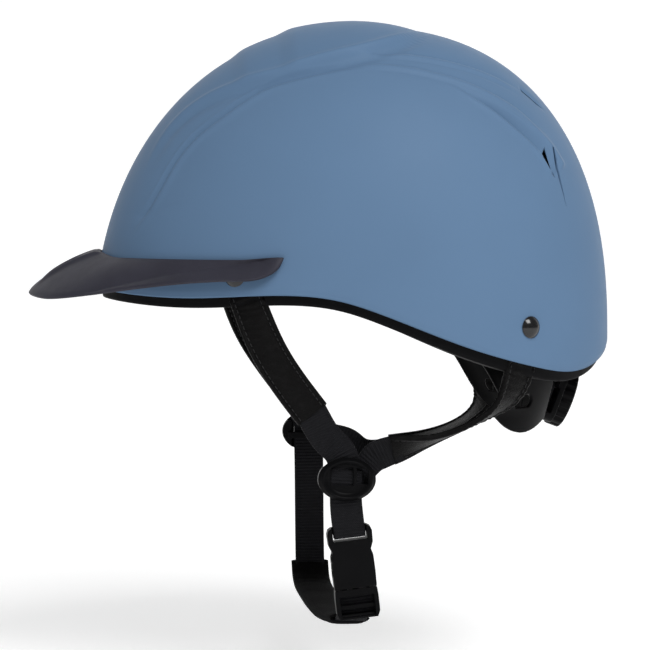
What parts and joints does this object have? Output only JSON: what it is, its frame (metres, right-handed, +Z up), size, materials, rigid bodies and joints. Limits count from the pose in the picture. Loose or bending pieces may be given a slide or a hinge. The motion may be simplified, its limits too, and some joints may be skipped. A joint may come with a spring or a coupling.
{
  "type": "equestrian riding helmet",
  "caption": "Riding helmet: blue shell with raised crown panel, dark peak, foam liner, harness with side-release buckle, and a nape cradle tightened by a dial.",
  "frame": {"origin": "centre of the head opening, at the level of the brow", "axes": "+X to the wearer's left, -Y to the front where the peak is, +Z up to the crown"},
  "size_m": [0.208, 0.3043, 0.3119],
  "materials": {
    "shell_blue": "satin",
    "foam": "beaded foam",
    "trim_rubber": "matte",
    "peak_plastic": "soft matte",
    "rivet_black": "glossy",
    "washer_steel": "zinc plated",
    "pad_fabric": "brushed knit",
    "strap_leather": "grained",
    "webbing": "ribbed weave",
    "buckle_plastic": "fine texture",
    "cradle_plastic": "fine texture",
    "screw_steel": "plain"
  },
  "bodies": {
    "helmet": {"outer_shell": "shell_blue", "impact_liner": "foam", "edge_trim": "trim_rubber", "peak": "peak_plastic", "front_rivets": "rivet_black", "rear_rivets": "rivet_black", "rivet_washers": "washer_steel", "brow_pad": "pad_fabric", "left_side_pad": "pad_fabric", "right_side_pad": "pad_fabric", "crown_pad": "pad_fabric", "left_front_sleeve": "strap_leather", "right_front_sleeve": "strap_leather", "left_rear_sleeve": "strap_leather", "right_rear_sleeve": "strap_leather", "left_front_webbing": "webbing", "right_front_webbing": "webbing", "left_rear_webbing": "webbing", "right_rear_webbing": "webbing", "left_drop_webbing": "webbing", "chin_webbing": "webbing", "chin_pad": "pad_fabric", "buckle_female": "buckle_plastic", "nape_arm_clips": "cradle_plastic"},
    "left_slider": {"left_slider": "buckle_plastic"},
    "right_slider": {"right_slider": "buckle_plastic"},
    "buckle_male": {"buckle_male": "buckle_plastic"},
    "front_prong": {"front_prong": "buckle_plastic"},
    "rear_prong": {"rear_prong": "buckle_plastic"},
    "cradle": {"nape_housing": "cradle_plastic", "nape_cover": "cradle_plastic", "nape_pad": "pad_fabric"},
    "dial": {"dial": "cradle_plastic", "dial_pinion": "cradle_plastic", "dial_screw": "screw_steel"},
    "left_rack": {"left_rack": "cradle_plastic"},
    "right_rack": {"right_rack": "cradle_plastic"},
    "left_arm": {"left_nape_arm": "cradle_plastic"},
    "right_arm": {"right_nape_arm": "cradle_plastic"}
  },
  "joints": [
    {"name": "dial_turn", "type": "hinge", "parent": "cradle", "child": "dial", "pos_m": [0, 0.1024, -0.0489], "axis": [0, -0.9367, 0.3502], "range_deg": [-100, 100]},
    {"name": "cradle_slide", "type": "slide", "parent": "helmet", "child": "cradle", "axis": [0, -1, 0], "range_m": [-0.0045, 0.0045]},
    {"name": "left_rack_slide", "type": "slide", "parent": "cradle", "child": "left_rack", "axis": [-1, 0, 0], "range_m": [-0.0072, 0.0072]},
    {"name": "right_rack_slide", "type": "slide", "parent": "cradle", "child": "right_rack", "axis": [1, 0, 0], "range_m": [-0.0072, 0.0072]},
    {"name": "left_arm_swing", "type": "hinge", "parent": "helmet", "child": "left_arm", "pos_m": [0.071, 0.034, -0.007], "axis": [0, 0, 1], "range_deg": [-6.4, 6.4]},
    {"name": "right_arm_swing", "type": "hinge", "parent": "helmet", "child": "right_arm", "pos_m": [-0.071, 0.034, -0.007], "axis": [0, 0, -1], "range_deg": [-6.4, 6.4]},
    {"name": "left_slider_slide", "type": "slide", "parent": "helmet", "child": "left_slider", "axis": [0, 0, 1], "range_m": [-0.006, 0.008], "deforming": ["left_front_webbing", "left_rear_webbing", "left_drop_webbing"]},
    {"name": "right_slider_slide", "type": "slide", "parent": "helmet", "child": "right_slider", "axis": [0, 0, 1], "range_m": [-0.008, 0.004], "deforming": ["right_front_webbing", "right_rear_webbing"]},
    {"name": "buckle_slide", "type": "slide", "parent": "helmet", "child": "buckle_male", "axis": [0, 0.1149, -0.9934], "range_m": [0, 0.026], "deforming": ["chin_webbing", "front_prong", "rear_prong"]},
    {"name": "front_prong_press", "type": "hinge", "parent": "buckle_male", "child": "front_prong", "pos_m": [0.074, -0.01199, -0.14307], "axis": [-1, 0, 0], "range_deg": [0, 9], "stiffness_Nm_per_rad": 0.02},
    {"name": "rear_prong_press", "type": "hinge", "parent": "buckle_male", "child": "rear_prong", "pos_m": [0.074, -0.00007, -0.14169], "axis": [1, 0, 0], "range_deg": [0, 9], "stiffness_Nm_per_rad": 0.02}
  ],
  "couplings": [
    {"joint": "dial_turn", "follows": "cradle_slide", "rad_per_m": 384.62},
    {"joint": "left_rack_slide", "follows": "cradle_slide", "ratio": 1.5385},
    {"joint": "right_rack_slide", "follows": "cradle_slide", "ratio": 1.5385},
    {"joint": "left_arm_swing", "follows": "cradle_slide", "rad_per_m": 23.462},
    {"joint": "right_arm_swing", "follows": "cradle_slide", "rad_per_m": 23.462}
  ]
}
